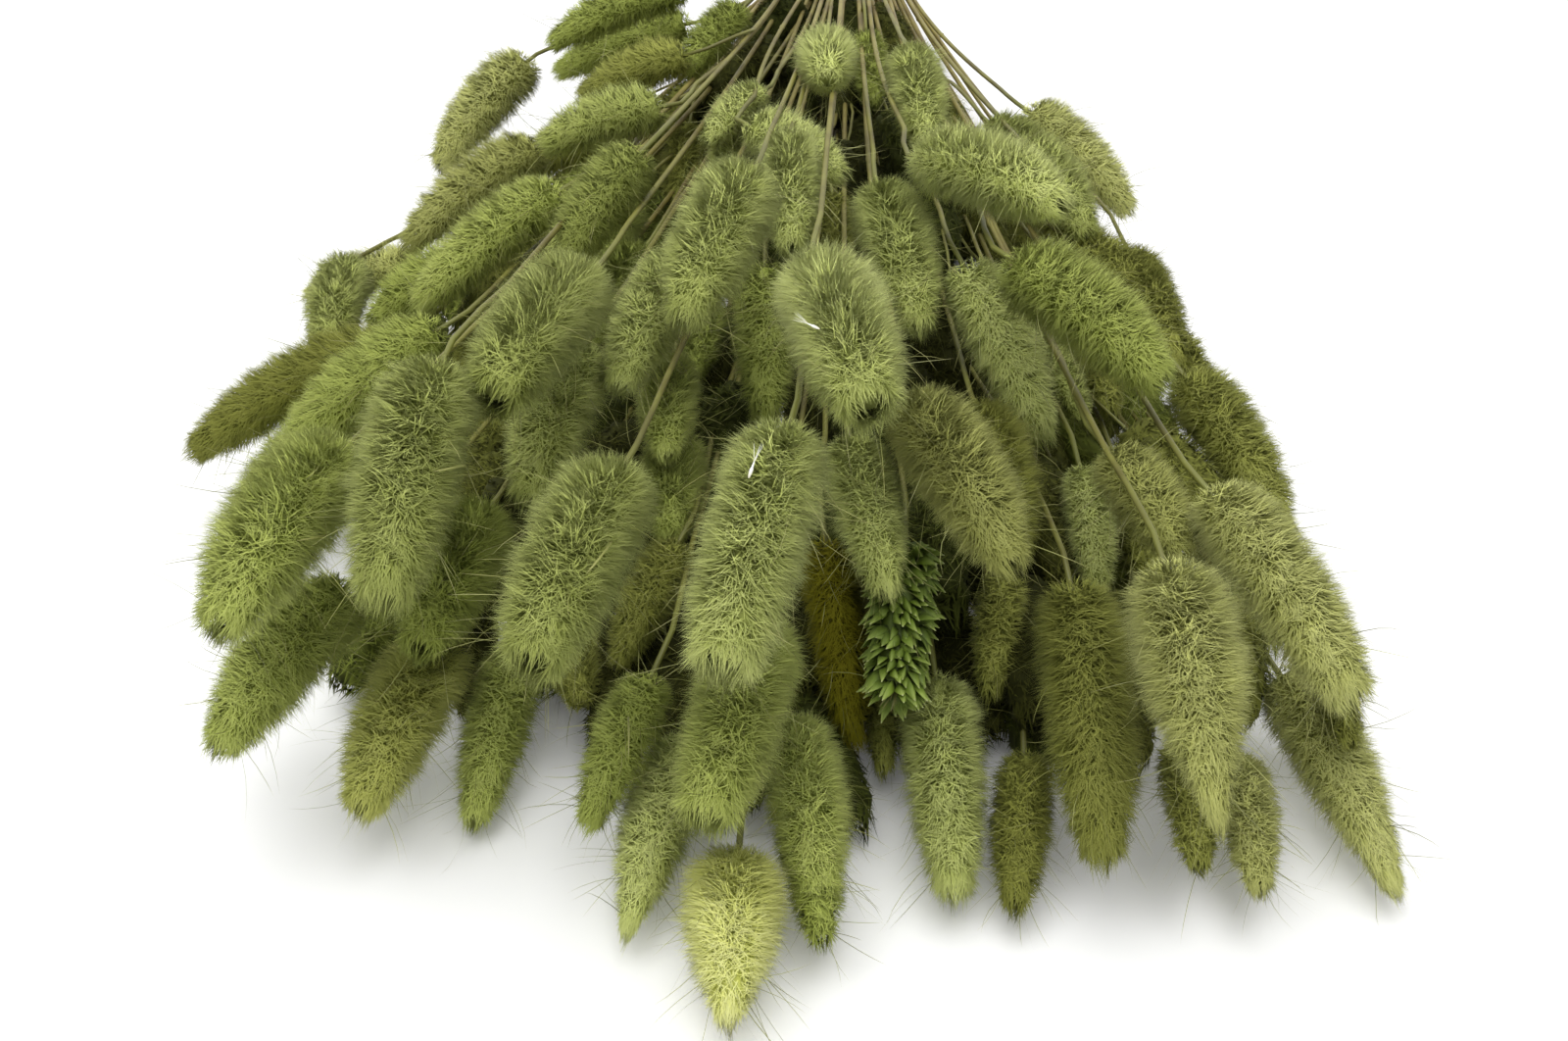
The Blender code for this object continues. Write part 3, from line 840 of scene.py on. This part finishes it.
# Each head's middle, across and ahead of the tie and its height in mm, its swing to the right and
# its nod in degrees, its length and width in mm, and its finish. First those that peep out.
peeping = (
    (16, 544, 12, 10, 8, 24, 12, "green"),
    (27, 494, 10, 4, 8, 32, 11, "olive"),
    (86, 523, 16, 0, 1, 31, 12, "olive"),
    (115, 504, 25, -2, -16, 29, 9, "olive"),
    (99, 398, 32, 10, 6, 36, 12, "olive"),
    (91, 378, 40, 10, 8, 46, 14, "olive"),
    (64, 312, 45, 29, 12, 46, 18, "sage"),
    (16, 225, 38, 6, 22, 32, 14, "green"),
    (10, 336, 35, 7, 22, 31, 12, "olive"),
    (66, 403, 35, 22, 9, 31, 12, "sage"),
    (78, 393, 30, 5, 6, 31, 12, "olive"),
    (83, 448, 22, 7, 6, 32, 13, "olive"),
    (-43, 388, 44, -11, 3, 41, 17, "green"),
    (-21, 388, 32, -3, 1, 31, 12, "green"),
    (-36, 492, 14, 10, -18, 29, 12, "olive"),
    (-109, 439, 26, -22, 2, 40, 18, "green"),
    (-66, 200, 26, -69, 21, 41, 16, "olive"),
    (-41, 266, 20, -2, 25, 37, 15, "olive"),
    (-53, 335, 30, -8, 4, 39, 16, "green"),
    (-95, 379, 38, -65, 29, 30, 17, "green"),
    (-54, 268, 52, -87, 23, 34, 16, "olive"),
    (-32, 252, 57, -30, 20, 32, 15, "green"),
    (-70, 300, 42, -70, 20, 36, 17, "olive"),
    (-62, 248, 63, -58, 12, 46, 16, "green"),
    (84, 366, 42, 38, 8, 36, 15, "olive"),
    (71, 339, 42, 31, 6, 36, 15, "olive"),
    (50, 488, 26, -7, 28, 27, 12, "olive"),
)
tieRadius = (tieHigh.x - tieLow.x) / 2 - 2.4 * mm
tiePitch = 0.4 * mm
flare = 1.12                    # how far the stems spread behind the tie
headSag = 0.06
stemSag = {"at": (0.4, 0.8), "deep": (12 * mm, 8 * mm), "floor": (3 * mm, 1 * mm)}
restHeight = 30 * mm            # heads above this height have their stems high in the tie


def freePlaces(count):
    # spots between the stems in the tie, each as far from its neighbours as can be
    taken = np.array([stemPoints[1][[0, 2]] for stemPoints, head, radii in stalkLines.values()])
    steps = np.arange(-tieRadius, tieRadius, tiePitch)
    spots = np.array([(x, z) for x in steps for z in steps if math.hypot(x, z) < tieRadius])
    spots += tieMiddle[[0, 2]]
    chosen = []
    for number in range(count):
        room = np.linalg.norm(spots[:, None] - taken[None], axis=2).min(1)
        chosen.append(spots[room.argmax()])
        taken = np.vstack((taken, chosen[-1]))
    print(f"{count} more stems in the tie, the closest {room.max() / mm:.2f} mm from the next")
    return chosen


def headFrom(row):
    # the middles of a head's rings, and its radius
    across, ahead, height, swing, nod, length, width = row[:7]
    swing, nod = math.radians(swing), math.radians(nod)
    axis = np.array((math.sin(swing) * math.cos(nod), -math.cos(swing) * math.cos(nod), -math.sin(nod)))
    middle = np.array((tieMiddle[0] + across * mm, tieMiddle[1] - ahead * mm, height * mm))
    ends = middle + axis * length * mm * (headShares[:, None] - 0.5)
    ends[:, 2] += headSag * length * mm * (1 - (2 * headShares - 1) ** 2)
    return ends, width * mm / 2


def layStalk(row, places=None):
    # a stalk from a free spot in the tie to its head, in the form that readStalk gives
    ends, radius = headFrom(row)
    across, ahead, height = np.array(row[:3]) * mm
    place = tieMiddle[[0, 2]]
    if places:
        wanted = place + tieRadius * np.array((across * 3, height - restHeight)) / ahead * 2
        place = places.pop(min(range(len(places)), key=lambda k: np.linalg.norm(places[k] - wanted)))
    inTie = [np.array((place[0], level, place[1])) for level in (tieHigh.y, tieLow.y)]
    spread = tieMiddle[[0, 2]] + (place - tieMiddle[[0, 2]]) * flare
    butt = np.array((spread[0], cadBox[1].y, spread[1]))
    collar = ends[0] - unit(ends[-1] - ends[0]) * collarLength
    under = inTie[1] + (collar - inTie[1]) * np.array(stemSag["at"])[:, None]
    lowest = stem["buttRadius"] + np.array(stemSag["floor"])
    under[:, 2] = np.maximum(under[:, 2] - stemSag["deep"], lowest)
    return np.array([butt, *inTie, *under, collar, ends[0]]), ends, np.array((radius,))


balls = {"from": 0.08, "count": 6, "slimmer": 0.5}


def ballsOf(ends, radius):
    # a row of balls that stands for a head
    share = np.linspace(balls["from"], 1 - balls["from"], balls["count"])
    middles = np.stack([np.interp(share, headShares, ends[:, k]) for k in range(3)], 1)
    return middles, radius * (1 - balls["slimmer"] * np.abs(2 * share - 1) ** 2)


fill = {
    "most": 104, "levels": (9 * mm, 20 * mm, 30 * mm),
    "long": 38 * mm, "wide": 15 * mm, "sizes": (0.88, 1.12),
    "grid": 7 * mm, "gridAcross": 160 * mm, "gridAhead": (60 * mm, 560 * mm),
    "nod": (0, 12), "swingScatter": 10,         # degrees
    "swing": 1.2,                               # times the way the spot lies from the tie
    "greenShare": 0.4,
    "eye": (0.025, -0.751, 0.252),              # from the tie's middle, on the table
    "cover": 0.62, "wideCover": 1.15,           # share of a head's width that hides what is behind it
    "behindHead": 16 * mm, "behindFill": 4 * mm,
    "inside": 58 * mm,                          # from the heads' outer edge
    "edges": 17, "margin": 0.03, "window": 0.05,    # radians
    "room": 0.45,
}


def hides(middles, radii, spots, beyond=0.0, width=fill["cover"]):
    # which spots the balls hide from someone who stands at the heads' end
    eye = np.array(fill["eye"]) + np.array((tieMiddle[0], tieMiddle[1], 0))
    slant = unit(eye - spots)
    away = middles[:, None] - spots[None]
    along = (away * slant[None]).sum(2)
    aside = np.linalg.norm(away - along[..., None] * slant[None], axis=2)
    return ((aside < radii[:, None] * width) & (along > beyond)).any(0)


def hollowRows(lines):
    # rows for stalks in the hollows of the heap, each where it hides most of the bare table
    rowsOfBalls = [ballsOf(ends, radii.max()) for stemPoints, ends, radii in lines]
    middles, radii = [np.concatenate(both) for both in zip(*rowsOfBalls)]
    across, ahead = middles[:, 0] - tieMiddle[0], tieMiddle[1] - middles[:, 1]
    turns, far = np.arctan2(across, ahead), np.hypot(across, ahead)
    edges = np.linspace(turns.min() + fill["margin"], turns.max() - fill["margin"], fill["edges"])
    nearest = fill["gridAhead"][0]
    limit = [far[np.abs(turns - edge) < fill["window"]].max(initial=nearest) for edge in edges]
    steps = [np.arange(*reach, fill["grid"])
             for reach in ((-fill["gridAcross"], fill["gridAcross"]), fill["gridAhead"])]
    spots = np.array([(x, y) for x in steps[0] for y in steps[1]])
    turn, reach = np.arctan2(spots[:, 0], spots[:, 1]), np.hypot(spots[:, 0], spots[:, 1])
    within = reach < np.interp(turn, edges, limit) - fill["inside"]
    within &= (turn > edges[0]) & (turn < edges[-1])
    spots, turn = spots[within], turn[within]
    ground = np.stack((tieMiddle[0] + spots[:, 0], tieMiddle[1] - spots[:, 1], np.zeros(len(spots))), 1)
    bare = ~hides(middles, radii, ground)
    print("bare spots before filling:", int(bare.sum()), "of", len(spots))
    rng = np.random.default_rng(3)
    rows = []
    for level in fill["levels"]:
        for spot, heading in zip(spots, turn):
            swing = math.degrees(heading) * fill["swing"] + rng.normal(0, fill["swingScatter"])
            size = rng.uniform(*fill["sizes"]) / mm
            rows.append((*spot / mm, level / mm, swing, rng.uniform(*fill["nod"]), fill["long"] * size,
                         fill["wide"] * size, "green" if rng.uniform() < fill["greenShare"] else "olive"))
    own = [ballsOf(*headFrom(row)) for row in rows]
    covers = np.array([hides(*ball, ground) for ball in own])
    # none may stand in front of a head that is seen
    seen = middles[~hides(middles, radii, middles, fill["behindHead"])]
    inFront = [hides(*ball, seen, fill["behindFill"], fill["wideCover"]).any() for ball in own]
    fits = np.array([clear(ball, middles, radii) for ball in own]) & ~np.array(inFront)
    chosen = []
    while len(chosen) < fill["most"]:
        gain = (covers & bare).sum(1) * fits
        best = int(gain.argmax())
        if gain[best] < 1:
            break
        chosen.append(rows[best])
        bare &= ~covers[best]
        fits &= np.array([clear(ball, *own[best]) for ball in own])
    print("hollows filled:", len(chosen), "bare spots left:", int(bare.sum()))
    return chosen


def clear(ball, middles, radii):
    apart = np.linalg.norm(ball[0][:, None] - middles[None], axis=2)
    return bool((apart > fill["room"] * (ball[1][:, None] + radii[None])).all())


# peeping heads are a little darker: painted shade where the heads above shelter them
peepingLook = {"density": shelteredDensity, "thin": 0.85, "shadeShift": -0.2, "bristleAmount": 0.5}
hollowLook = {"density": innerDensity, "thin": 0.68, "felt": 0.8, "bristleAmount": 0.15}
# Painted shade on the hollow heads, their colours kept to the dark roots: near black in the middle
# of the bunch and less dark towards its sides, where light falls in
hollowShades = {"shadeShift": (-0.5, -0.3), "ripe": (0.035, 0.535)}
litFrom = (0.12, 0.24)      # how far aside a head lies, as a share of how far it is from the tie


def hollowShade(row):
    aside = abs(row[0] / row[1])
    return {word: float(np.interp(aside, litFrom, shades)) for word, shades in hollowShades.items()}


hollows = hollowRows([*stalkLines.values(), *[layStalk(row) for row in peeping]])
rows = [*peeping, *hollows]
places = freePlaces(len(rows))
for k, row in enumerate(rows):
    look = peepingLook if row in peeping else {**hollowLook, **hollowShade(row)}
    line, slot = layStalk(row, places), "down_" + row[7]
    makeStalk(f"shelteredTail{k + 1:02d}", line, slot, seed=200 + k, **look)
print("sheltered stalks made:", len(rows))


spike = {
    "spikelets": 64, "bracts": 5, "taper": 0.35, "blunt": 2.2, "coreShare": 0.42,
    "fan": 0.34,                    # radians from one bract to the next
    "shareScatter": 0.012, "turnScatter": 0.16, "fanScatter": 0.07, "forwardScatter": 0.22,
    "forward": (0.3, 0.9, 1.2, 1.1), "forwardAt": (0, 0.2, 0.8, 1),     # shares of the head's length
    "spread": 0.30, "ragged": 0.27, "roll": 0.35,
    "long": (4.2 * mm, 7.0 * mm), "outerShorter": 0.35 * mm, "halfWidth": 1.0 * mm, "widths": (0.75, 1.2),
    "shades": (0.05, 0.75),
    "openEnd": 0.84, "openShade": 0.45,     # from here on the bracts are pale
    "bristleAmount": 0.2,
    "straws": 14, "strawShare": 0.93, "strawAside": 1.2, "strawLong": (2.5, 5),     # in mm
    "strawHalf": 0.16 * mm, "strawAstray": 0.25,
}


def makeBracts(head, rng):
    # fans of scales round the axis, open at the far end
    count = spike["spikelets"] * spike["bracts"]
    number = np.arange(count) // spike["bracts"]
    within = np.arange(count) % spike["bracts"] - (spike["bracts"] - 1) / 2
    share = 0.02 + 0.94 * (number + 0.5) / spike["spikelets"] + rng.normal(0, spike["shareScatter"], count)
    turn = number * goldenTurn + rng.normal(0, spike["turnScatter"], spike["spikelets"])[number]
    around = turn + within * spike["fan"] + rng.normal(0, spike["fanScatter"], count)
    roots = onHead(head, share, around, head["radius"] * spike["coreShare"] * outline(head, share))
    radial = awayFromAxis(head, around)
    tangent = np.cross(np.tile(head["axis"], (count, 1)), radial)
    forward = np.interp(share, spike["forwardAt"], spike["forward"])
    forward = (forward + rng.normal(0, spike["forwardScatter"], spike["spikelets"])[number])[:, None]
    run = unit(radial + head["axis"] * forward + tangent * within[:, None] * spike["spread"]
               + rng.normal(0, spike["ragged"], (count, 3)))
    low, high = spike["long"]
    long = high - (high - low) * rng.beta(1.6, 1.6, count) - spike["outerShorter"] * np.abs(within)
    long = long[:, None, None]
    sides = unit(tangent - run * (tangent * run).sum(1)[:, None])
    roll = rng.normal(0, spike["roll"], count)[:, None]
    sides = sides * np.cos(roll) + np.cross(run, sides) * np.sin(roll)
    backs = np.cross(sides, run)
    wide = spike["halfWidth"] * rng.uniform(*spike["widths"], count)[:, None, None]
    x, y, z = flatBract[0].T[:, None, :, None]
    placed = (roots[:, None] + run[:, None] * y * long + sides[:, None] * x * wide
              + backs[:, None] * z * long * 0.9)
    shade = rng.uniform(*spike["shades"], count) + (share > spike["openEnd"]) * spike["openShade"]
    return {"points": placed.reshape(-1, 3), "faces": copiedFaces(flatBract, count), "finish": 1,
            "map": strandMap(flatBract, count, shade, downBand)}


def makeOldStraw(head, rng):
    # short bits of straw that stand out of the open end
    count = spike["straws"]
    share = np.full(count, spike["strawShare"])
    around = rng.uniform(0, 6.3, count)
    roots = onHead(head, share, around, rng.uniform(0, spike["strawAside"], count) * mm)
    out = unit(head["axis"] + rng.normal(0, spike["strawAstray"], (count, 3)))
    out = out * rng.uniform(*spike["strawLong"], count)[:, None] * mm
    sides = unit(np.cross(out, rng.normal(size=(count, 3))))
    shade = rng.uniform(0, 0.5, count)
    half = spike["strawHalf"]
    return strands(bristleShape, roots, roots + out / 2, roots + out, sides, half, 2, shade, awnBand)


def makeBareSpike():
    rng = np.random.default_rng(7)
    stemPoints, ends, radii = stalkLines["bare_spike"]
    head = headOf(ends, radii, spike["taper"], spike["blunt"])
    bracts = makeBracts(head, rng)
    bristlesOut = growBristles(head, rng, spike["bristleAmount"])
    oldStraw = makeOldStraw(head, rng)
    shapes = [growStem(stemPoints, head), growFelt(head, rng), bracts, bristlesOut, oldStraw]
    joinPiece("bareSpike", shapes, (strawStem, greenBract, bristle), "bare_spike")


makeBareSpike()
print("bare spike made")


elastic = {"turns": 4.5, "radius": 0.62 * mm, "lift": 1.2 * mm, "stations": 500, "band": (0.02, 0.98)}


def makeElastic():
    # turns side by side, and then half a turn across the top of them back to the start
    reach = (tieHigh.x - tieLow.x) / 2 - elastic["radius"]
    spread = (tieHigh.y - tieLow.y) / 2 - elastic["radius"]
    turned = np.linspace(0, elastic["turns"] + 0.5, elastic["stations"])
    back = np.clip((turned - elastic["turns"]) * 2, 0, 1)
    aside = -spread + 2 * spread * np.clip(turned / elastic["turns"], 0, 1)
    aside -= 2 * spread * back**2 * (3 - 2 * back)
    reach = reach + elastic["lift"] * np.sin(math.pi * back) ** 0.7
    turn = math.pi * (1 + 2 * turned)
    line = np.stack((tieMiddle[0] + reach * np.cos(turn), tieMiddle[1] + aside,
                     tieMiddle[2] + reach * np.sin(turn)), 1)
    strand = wrapAlong(uprightStrand, line, elastic["radius"], 0, elastic["band"], reference=(0, 1, 0))
    joinPiece("elasticTie", [strand], (rubber,), "elastic_tie")


makeElastic()
print("elastic made")


# The head's number, how far along and how far round it, and how turned; a straw's length in mm too
florets = ((26, 0.74, 130, 0.5), (21, 0.40, 98, -0.2))
straws = ((19, 0.55, 30, 0.9, 9), (12, 0.5, 60, -0.4, 8), (20, 0.62, 45, 0.2, 9), (9, 0.5, 170, 1.2, 10),
          (18, 0.6, 20, 0.6, 8))
chaff = {"lift": (1.03, 1.04), "grainLong": 3.0 * mm, "grainHalf": 0.32 * mm, "grainRows": 12,
         "grainBand": (0.3, 0.5), "beard": 3.4 * mm, "beardHairs": 4, "beardHalf": 0.035 * mm,
         "beardAstray": 0.22, "beardBand": (0.6, 0.95), "strawHalf": 0.2 * mm, "strawBend": 0.8 * mm}


def spotOn(number, share, around, lift):
    # a spot on a head's down, with the directions away from the head and round it
    head = heads[f"bunny_tail_{number:02d}"]
    share, around = np.array((share,)), np.array((math.radians(around),))
    outward = awayFromAxis(head, around)
    spot = onHead(head, share, around, head["radius"] * lift * outline(head, share))
    return head, spot, outward, np.cross(head["axis"][None], outward)


def makeFloret(number, share, around, turn, rng):
    head, spot, outward, tangent = spotOn(number, share, around, chaff["lift"][0])
    run = unit(-head["axis"] * math.cos(turn) + tangent * math.sin(turn) + outward * 0.35)
    rows, count = chaff["grainRows"], chaff["beardHairs"]
    line = spot + run * np.linspace(0, chaff["grainLong"], rows)[:, None]
    tips = line[-1] + unit(run + rng.normal(0, chaff["beardAstray"], (count, 3))) * chaff["beard"]
    roots = np.tile(line[-2], (count, 1))
    sides = unit(np.cross(tips - roots, outward))
    grain = wrapAlong(uprightGrain, line, chaff["grainHalf"], 0, chaff["grainBand"])
    beard = strands(bristleShape, roots, (roots + tips) / 2, tips, sides, chaff["beardHalf"], 0,
                    np.linspace(0, 1, count), chaff["beardBand"])
    return grain, beard


def makeStraw(number, share, around, turn, long):
    head, spot, outward, tangent = spotOn(number, share, around, chaff["lift"][1])
    run = unit(head["axis"] * math.cos(turn) + tangent * math.sin(turn)) * long * mm / 2
    bend = spot + outward * chaff["strawBend"]
    side, shade = unit(np.cross(run, outward)), np.ones(1)
    return strands(bristleShape, spot - run, bend, spot + run, side, chaff["strawHalf"], 1, shade, awnBand)


def makeChaff():
    rng = np.random.default_rng(11)
    shapes = [shape for floret in florets for shape in makeFloret(*floret, rng)]
    shapes += [makeStraw(*straw) for straw in straws]
    joinPiece("looseChaff", shapes, (whiteChaff, bristle))


makeChaff()
print("loose bits made")


studio = {"floorSize": 9.0, "floorColour": 0.95, "lift": 0.05, "worldStrength": 0.58,
          "lampPower": 25, "lampSize": 1.6, "lampPlace": (-0.15, -0.3, 1.5)}


def seenDirectly(tree):
    # 1 for what the camera, a reflection or a see-through surface looks at directly
    path = tree.nodes.new("ShaderNodeLightPath")
    total = path.outputs["Is Camera Ray"]
    for ray in ("Is Glossy Ray", "Is Transmission Ray"):
        more = tree.nodes.new("ShaderNodeMath")
        more.operation = "MAXIMUM"
        tree.links.new(total, more.inputs[0])
        tree.links.new(path.outputs[ray], more.inputs[1])
        total = more.outputs["Value"]
    return total


def makeFloor():
    bpy.ops.object.select_all(action="DESELECT")
    bpy.ops.mesh.primitive_plane_add(size=studio["floorSize"])
    floor = bpy.context.object
    floor.name = "floor"
    grey = studio["floorColour"]
    surface = {"Base Color": (grey, grey, grey, 1), "Roughness": 0.9, "Specular IOR Level": 0,
               "Emission Color": (1, 1, 1, 1)}
    finish, tree, shader = startFinish("white table", surface)
    strength = rescale(tree, seenDirectly(tree), 0, 1, 0, studio["lift"])
    tree.links.new(strength, shader.inputs["Emission Strength"])
    floor.data.materials.append(finish)


def makeLight():
    world = bpy.data.worlds.new("white room")
    bpy.context.scene.world = world
    world.use_nodes = True
    tree = world.node_tree
    background = tree.nodes["Background"]
    setInputs(background, {"Color": (1, 1, 1, 1)})
    strength = rescale(tree, seenDirectly(tree), 0, 1, studio["worldStrength"], 1)
    tree.links.new(strength, background.inputs["Strength"])
    lamp = bpy.data.lights.new("soft box", "AREA")
    lamp.energy = studio["lampPower"]
    lamp.size = studio["lampSize"]
    lampObject = bpy.data.objects.new("soft box", lamp)
    lampObject.location = studio["lampPlace"]
    lampObject.rotation_euler = (-lampObject.location).to_track_quat("-Z", "Y").to_euler()
    bpy.context.scene.collection.objects.link(lampObject)


view = {"aside": 0.0249, "ahead": 0.751, "height": 0.252, "turn": 4.0, "down": 37.0, "lens": 38.8125}


def makeCamera():
    camera = bpy.data.cameras.new("camera")
    camera.lens = view["lens"]
    camera.sensor_width = 36
    camera.clip_start = 0.01
    cameraObject = bpy.data.objects.new("camera", camera)
    cameraObject.location = (tieMiddle[0] + view["aside"], tieMiddle[1] - view["ahead"], view["height"])
    cameraObject.rotation_euler = (math.radians(90 - view["down"]), 0, math.radians(view["turn"]))
    bpy.context.scene.collection.objects.link(cameraObject)
    bpy.context.scene.camera = cameraObject


makeFloor()
makeLight()
makeCamera()
bpy.context.scene.view_settings.view_transform = "Standard"
print("floor, light and camera set")
